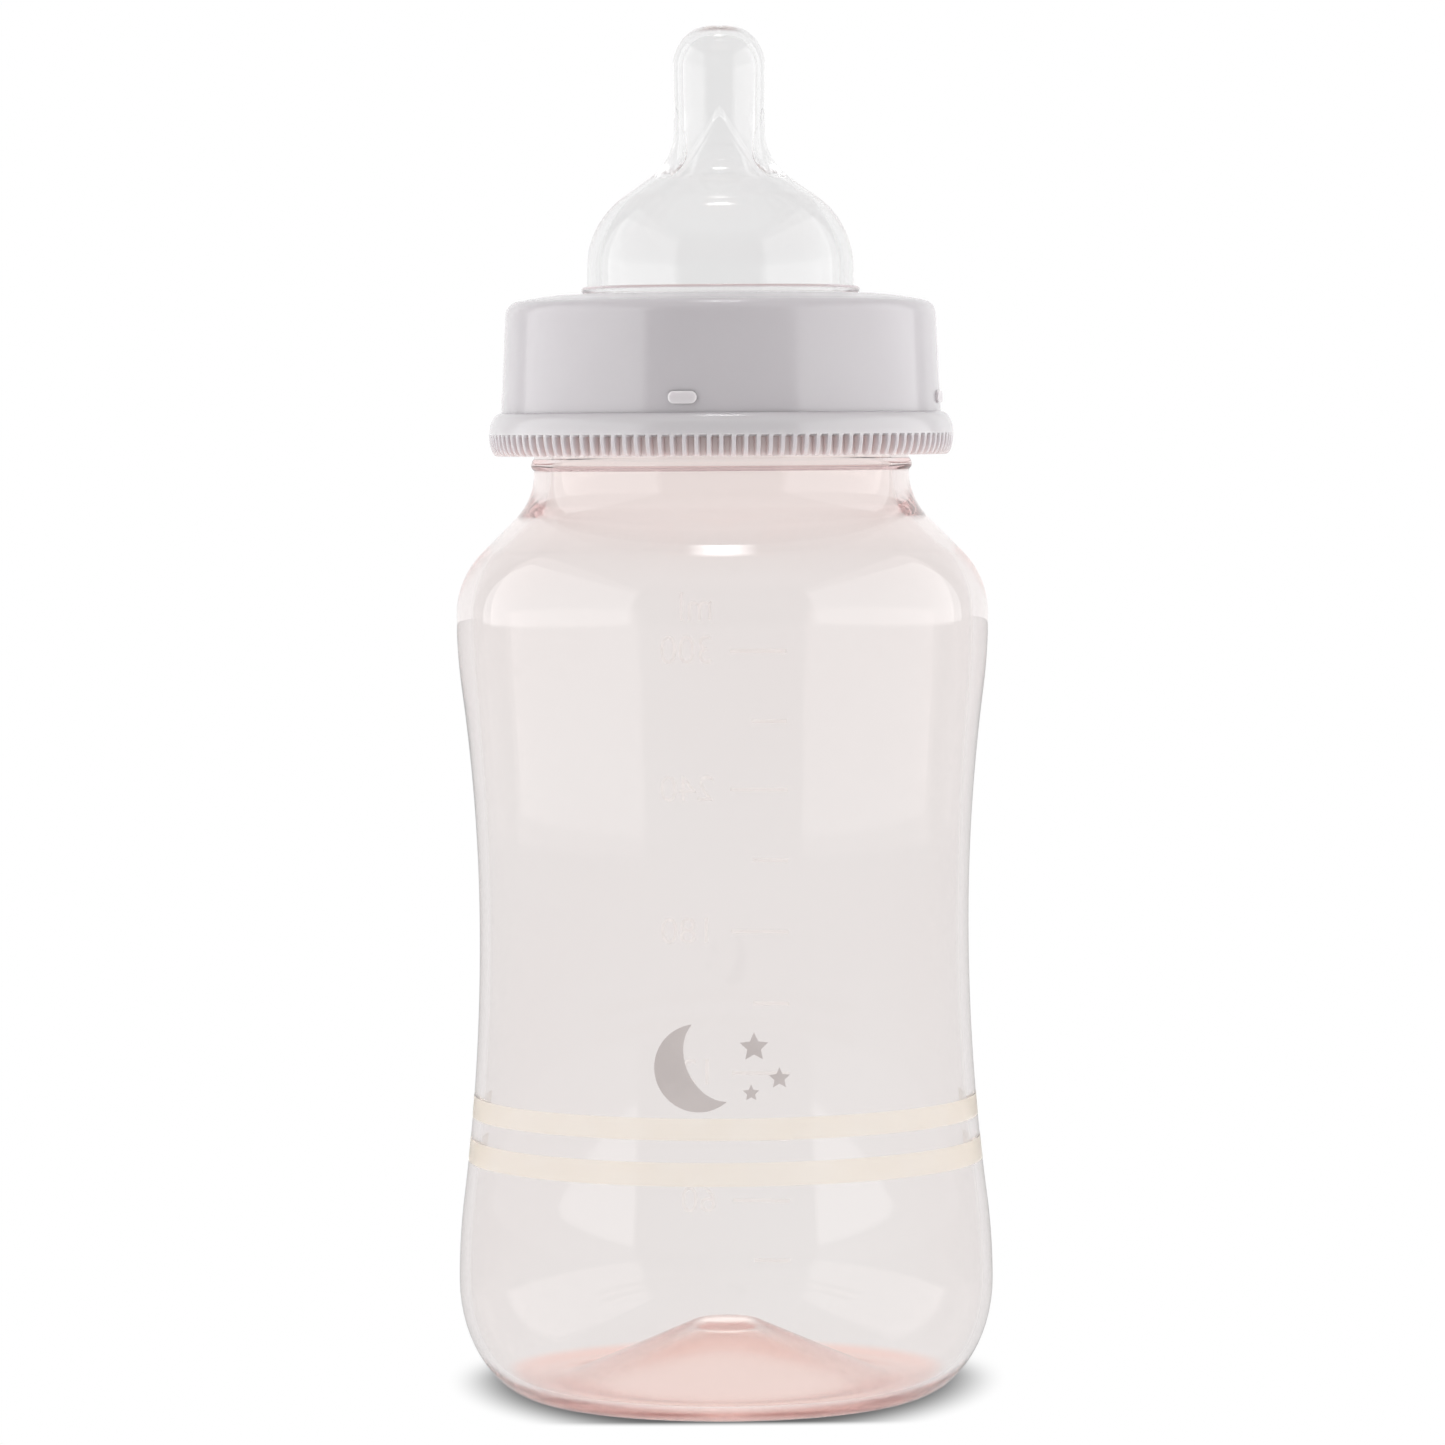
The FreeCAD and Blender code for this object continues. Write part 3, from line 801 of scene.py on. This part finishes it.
moon = {"centre": (-3.4, 46.4), "radius": 5.6, "chord": 1.6, "hollow": -0.75, "tilt": -24, "corners": 96}
stars = {
    "places": ((3.7, 49.0, 1.9), (6.9, 45.0, 1.4), (3.3, 43.2, 1.1)),     # across, height and radius
    "waist": 0.48, "corners": 10,
}
marks = {
    "every": 30, "numberEvery": 60, "most": 300, "longTick": 8.0, "shortTick": 5.0, "tickTall": 0.55,
    "tickLeft": -9.0, "numberLeft": 1.2, "numberTall": 3.6, "unitRise": 5.4,
    "capital": 0.7,                           # height of a number against its type size
}


def printInk(name, shades, sheer, dullness, paintedGlow=0.0):
    # sheer: how much light the ink lets through; last, a painted glow, an emission that lightens the ink
    p = prints
    material, f = newMaterial(name)
    place = f.objectPlace()
    patch = place.noise(p["patches"], 3.0).rise(*p["patchFade"])
    grain = place.noise(p["grain"], 1.0)
    f.principled({
        "Base Color": patch.tint(*shades), "Roughness": patch * 0.1 + dullness, "IOR": p["bend"],
        "Transmission Weight": sheer, "Normal": grain.bump(*p["grainBump"]), "Emission Strength": paintedGlow,
    })
    return material


def stripeRing(name, low, high, ink):
    p = prints
    band = Outline(wallRadius(low) + p["lift"], low, p["stripeStep"])
    for share in band.shares(high - low):
        height = low + (high - low) * share
        band.add(wallRadius(height) + p["lift"], height)
    back = [(radius + p["thick"], height) for radius, height in reversed(band.points)]
    piece = turnPiece(name, band.points + back + band.points[:1], bottle["steps"])
    bpy.ops.object.mode_set(mode="EDIT")
    bpy.ops.mesh.select_all(action="SELECT")
    bpy.ops.mesh.bisect(plane_co=(0, p["stripeEnd"] * mm, 0), plane_no=(0, 1, 0),
                        use_fill=True, clear_outer=True)
    tidyMesh()
    bpy.ops.object.mode_set(mode="OBJECT")
    smooth(piece, p["stripeCrease"])
    finishPiece(piece, "bottle", ink)


def standUp(piece, across, height, front=True):
    # turns a flat piece upright and sets it off the front or the back wall
    away = prints["away"] * (-1 if front else 1)
    piece.rotation_euler = (math.pi / 2, 0, 0 if front else math.pi)
    piece.location = (across * mm, away * mm, height * mm)
    selectOnly(piece)
    bpy.ops.object.transform_apply(location=True, rotation=True, scale=True)
    return piece


def makeMoon():
    # a disc whose right side is folded in past its chord
    m = moon
    crescent = flatDisc(m["corners"], m["radius"])
    bpy.ops.object.mode_set(mode="EDIT")
    pick(crescent, lambda place: place.x > m["chord"] * mm)
    bpy.ops.transform.resize(value=(m["hollow"], 1, 1), center_override=(m["chord"] * mm, 0, 0))
    bpy.ops.mesh.select_all(action="SELECT")
    bpy.ops.transform.rotate(value=math.radians(m["tilt"]), orient_axis="Z", center_override=(0, 0, 0))
    bpy.ops.object.mode_set(mode="OBJECT")
    return standUp(crescent, *m["centre"])


def makeStar(across, height, radius):
    # ten corners, every other one drawn in
    star = flatDisc(stars["corners"], radius)
    drawnIn = [vert.co.copy() for vert in star.data.vertices][1::2]
    bpy.ops.object.mode_set(mode="EDIT")
    pick(star, lambda place: any((place - corner).length < near * mm for corner in drawnIn))
    bpy.ops.transform.resize(value=(stars["waist"], stars["waist"], 1), center_override=(0, 0, 0))
    bpy.ops.object.mode_set(mode="OBJECT")
    return standUp(star, across, height)


def levelOf(millilitres):
    # height up to which the hollow holds this much; a millilitre is 1000 cubic millimetres
    held = 0
    for (lowRadius, low), (highRadius, high) in zip(insidePoints, insidePoints[1:]):
        more = math.pi * ((lowRadius + highRadius) / 2) ** 2 * (high - low) / 1000
        if held + more > millilitres and more > 0:
            return low + (high - low) * (millilitres - held) / more
        held += more
    return bottle["rimHeight"]


def makeWord(word, across, height):
    # centred on its height; seen from behind, so its left edge has the larger x
    m = marks
    bpy.ops.object.select_all(action="DESELECT")
    bpy.ops.object.text_add()
    piece = bpy.context.object
    piece.data.body = word
    piece.data.align_x, piece.data.align_y = "LEFT", "CENTER"
    piece.data.size = m["numberTall"] * mm / m["capital"]
    bpy.ops.object.convert(target="MESH")
    return standUp(bpy.context.object, -across, height, front=False)


def makeTick(height, length):
    m = marks
    bpy.ops.object.select_all(action="DESELECT")
    bpy.ops.mesh.primitive_plane_add(size=mm)
    tick = bpy.context.object
    bpy.ops.object.mode_set(mode="EDIT")
    bpy.ops.mesh.select_all(action="SELECT")
    bpy.ops.transform.resize(value=(length, m["tickTall"], 1), center_override=(0, 0, 0))
    bpy.ops.object.mode_set(mode="OBJECT")
    return standUp(tick, -(m["tickLeft"] + length / 2), height, front=False)


def makeMarks():
    m = marks
    made = []
    for amount in range(m["every"], m["most"] + 1, m["every"]):
        height = levelOf(amount)
        long = amount % m["numberEvery"] == 0
        made.append(makeTick(height, m["longTick"] if long else m["shortTick"]))
        if long:
            made.append(makeWord(str(amount), m["numberLeft"], height))
    made.append(makeWord("ml", m["numberLeft"], levelOf(m["most"]) + m["unitRise"]))
    return made


def layOnWall(piece, ink, front=True):
    # a flat print, cut in strips, laid on the wall and given its thickness
    p = prints
    selectOnly(piece)
    reach = int(max(abs(vert.co.x) for vert in piece.data.vertices) / mm / p["strip"])
    bpy.ops.object.mode_set(mode="EDIT")
    bpy.ops.mesh.select_all(action="SELECT")
    bpy.ops.mesh.quads_convert_to_tris(ngon_method="BEAUTY")
    for i in range(-reach, reach + 1):
        bpy.ops.mesh.select_all(action="SELECT")
        bpy.ops.mesh.bisect(plane_co=(i * p["strip"] * mm, 0, 0), plane_no=(1, 0, 0))
    bpy.ops.mesh.select_all(action="SELECT")
    bpy.ops.mesh.remove_doubles(threshold=p["weld"] * mm)
    bpy.ops.object.mode_set(mode="OBJECT")
    wrap = piece.modifiers.new("wrap", "SHRINKWRAP")
    wrap.target = bottleShell
    wrap.wrap_method = "PROJECT"
    wrap.use_project_y = True
    wrap.use_positive_direction = front
    wrap.use_negative_direction = not front
    wrap.wrap_mode = "ABOVE_SURFACE"
    wrap.offset = p["lift"] * mm
    skin = piece.modifiers.new("skin", "SOLIDIFY")
    skin.thickness = p["thick"] * mm
    skin.offset = 1
    applyModifiers(piece)
    bpy.ops.object.mode_set(mode="EDIT")
    tidyMesh()
    bpy.ops.object.mode_set(mode="OBJECT")
    finishPiece(piece, "bottle", ink)


def makePrints():
    cream, pale, grey = (printInk(name, **look) for name, look in inks.items())
    for name, (low, high) in prints["stripes"].items():
        stripeRing(name, low, high, cream)
    night = [makeMoon()] + [makeStar(*star) for star in stars["places"]]
    layOnWall(joined(night, "moon_print"), grey)
    layOnWall(joined(makeMarks(), "measure_marks"), pale, front=False)
    print("prints laid on")


makePrints()


# Stage, lights and camera

studio = {
    "floorDrop": 0.05, "floorSize": 6.0, "floorMirror": 0.55, "floorGlow": 1.45,
    "shadeDepth": 0.86, "shadeWide": 0.0319, "shadeLong": 0.0502, "shadeBack": 0.0172,
    "shadeFade": (0.85, 1.19), "shadeFront": -0.0285, "shadeReach": (0.034, 0.052),
    "sideX": 0.7, "sideY": -0.181, "sideLength": 1.306,
    "sideFoot": 0.075, "sideTall": 0.68, "sideGlow": 1.1,
    "front": 0.25, "frontHalf": 40, "gap": 0.75, "gapTo": 137, "blur": 2, "back": 1.0,
    "ceiling": 1.0, "ceilingFade": (0.55, 0.8),
    "spot": 20, "spotWide": 0.17, "spotDeep": 0.07, "spotFrom": 0.1, "spotInside": 0.4,
    "insideLift": 0.82, "flank": 0.85, "flankFade": (120, 150), "bounces": 32,
}
shot = {
    "distance": 0.850, "eyeHeight": 0.1286, "aimHeight": 0.0888, "aimX": -0.00006,
    "lens": 161.0, "sensor": 36, "roll": -0.34,
}


def makeFloor():
    # white paper, with a painted soft shadow round and behind the foot that only the camera sees
    s = studio
    bpy.ops.object.select_all(action="DESELECT")
    under = (0, 0, -s["floorDrop"] * mm)
    bpy.ops.mesh.primitive_plane_add(size=s["floorSize"], location=under)
    floor = bpy.context.object
    floor.name = "floor"
    material, f = newMaterial("floor_white")
    place = f.objectPlace()
    along = (place.axis("Y") - s["shadeBack"]) / s["shadeLong"]
    across = place.axis("X") / s["shadeWide"]
    away = f.maths("SQRT", along * along + across * across)
    front = place.axis("Y").rise(s["shadeFront"], -bottle["standRadius"] * mm)
    close = front * (1 - place.length().rise(*s["shadeReach"]))
    # painted shadow, deepest close round the foot
    seen = 1 - s["shadeDepth"] * (1 - away.rise(*s["shadeFade"])) * close
    through, mirrored = f.passed("Transmission"), f.passed("Glossy")
    camera = f.node("ShaderNodeLightPath", out="Is Camera Ray")
    outside = mirrored * s["floorMirror"] + (1 - mirrored) * s["floorGlow"]
    shine = camera * seen + (1 - camera) * (through + (1 - through) * outside)
    paper = f.node("ShaderNodeEmission", None, {"Color": white, "Strength": shine})
    below = f.node("ShaderNodeNewGeometry", out="Backfacing")
    clear = f.node("ShaderNodeBsdfTransparent")           # seen through from below
    sheet = f.node("ShaderNodeMixShader", None, {0: below, 1: paper, 2: clear})
    f.node("ShaderNodeOutputMaterial", None, {"Surface": sheet})
    floor.data.materials.append(material)


def makeWorld():
    s = studio
    world = bpy.data.worlds.new("studio")
    bpy.context.scene.world = world
    world.use_nodes = True
    world.node_tree.nodes.clear()
    f = Flow(world.node_tree)
    way = f.node("ShaderNodeTexCoord", out="Generated")
    towards, sideways = 0 - way.axis("Y"), way.axis("X")
    angle = f.maths("ARCTAN2", f.maths("ABSOLUTE", sideways), towards) * (180 / math.pi)
    dark = 1 - angle.rise(s["frontHalf"] - s["blur"], s["frontHalf"] + s["blur"])
    back = angle.rise(s["gapTo"] - s["blur"], s["gapTo"] + s["blur"])
    room = s["gap"] + dark * (s["front"] - s["gap"]) + back * (s["back"] - s["gap"])
    above = way.axis("Z").rise(*s["ceilingFade"])
    room = room * (1 - above) + s["ceiling"] * above
    through, mirrored = f.passed("Transmission"), f.passed("Glossy")
    wide, deep = sideways / s["spotWide"], towards / s["spotDeep"]
    off = f.maths("SQRT", wide * wide + deep * deep)
    spot = (1 - off.rise(s["spotFrom"], 1)) * (way.axis("Z") > 0)
    room = room + s["spot"] * spot * (1 - through * (1 - s["spotInside"]))
    camera = f.node("ShaderNodeLightPath", out="Is Camera Ray")
    clear = through * (1 - mirrored)           # seen through clear walls: white, greyer to the sides
    flank = 1 - (1 - angle.rise(*s["flankFade"])) * (1 - above) * (1 - s["flank"])
    lifted = room + through * s["insideLift"] * f.maths("MAXIMUM", 1 - room, 0)
    shade = camera + (1 - camera) * (clear * flank + (1 - clear) * lifted)
    light = f.node("ShaderNodeBackground", None, {"Color": white, "Strength": shade})
    f.node("ShaderNodeOutputWorld", None, {"Surface": light})


def addBox(name, place, turn, size, paintedGlow):
    bpy.ops.object.light_add(type="AREA", location=place, rotation=turn)
    lamp = bpy.context.object
    lamp.name = name
    lamp.data.shape = "RECTANGLE"
    lamp.data.size, lamp.data.size_y = size
    lamp.data.energy = math.pi * size[0] * size[1] * paintedGlow
    lamp.visible_camera = False
    lamp.data.use_nodes = True
    lamp.data.node_tree.nodes.clear()
    f = Flow(lamp.data.node_tree)
    # straight through clear walls only the room behind shows
    straight = f.passed("Transmission") * (1 - f.passed("Glossy"))
    light = f.node("ShaderNodeEmission", None, {"Strength": 1 - straight})
    f.node("ShaderNodeOutputLight", None, {"Surface": light})


def makeLights():
    s = studio
    for name, way in (("light_left", -1), ("light_right", 1)):
        place = (way * s["sideX"], s["sideY"], s["sideFoot"] + s["sideTall"] / 2)
        turn = (math.pi / 2, 0, way * math.pi / 2)
        addBox(name, place, turn, (s["sideLength"], s["sideTall"]), s["sideGlow"])


def makeCamera():
    c = shot
    eye = Vector((c["aimX"], -c["distance"], c["eyeHeight"]))
    aim = Vector((c["aimX"], 0, c["aimHeight"]))
    bpy.ops.object.camera_add(location=eye)
    camera = bpy.context.object
    camera.rotation_euler = (aim - eye).to_track_quat("-Z", "Y").to_euler()
    camera.data.lens = c["lens"]
    camera.data.sensor_width = c["sensor"]
    camera.rotation_euler.rotate_axis("Z", math.radians(c["roll"]))
    bpy.context.scene.camera = camera


makeFloor()
makeWorld()
makeLights()
makeCamera()
bpy.context.scene.view_settings.view_transform = "Standard"
paths = bpy.context.scene.cycles              # light runs a long way inside clear walls
paths.max_bounces = paths.glossy_bounces = paths.transmission_bounces = studio["bounces"]
print("stage set")
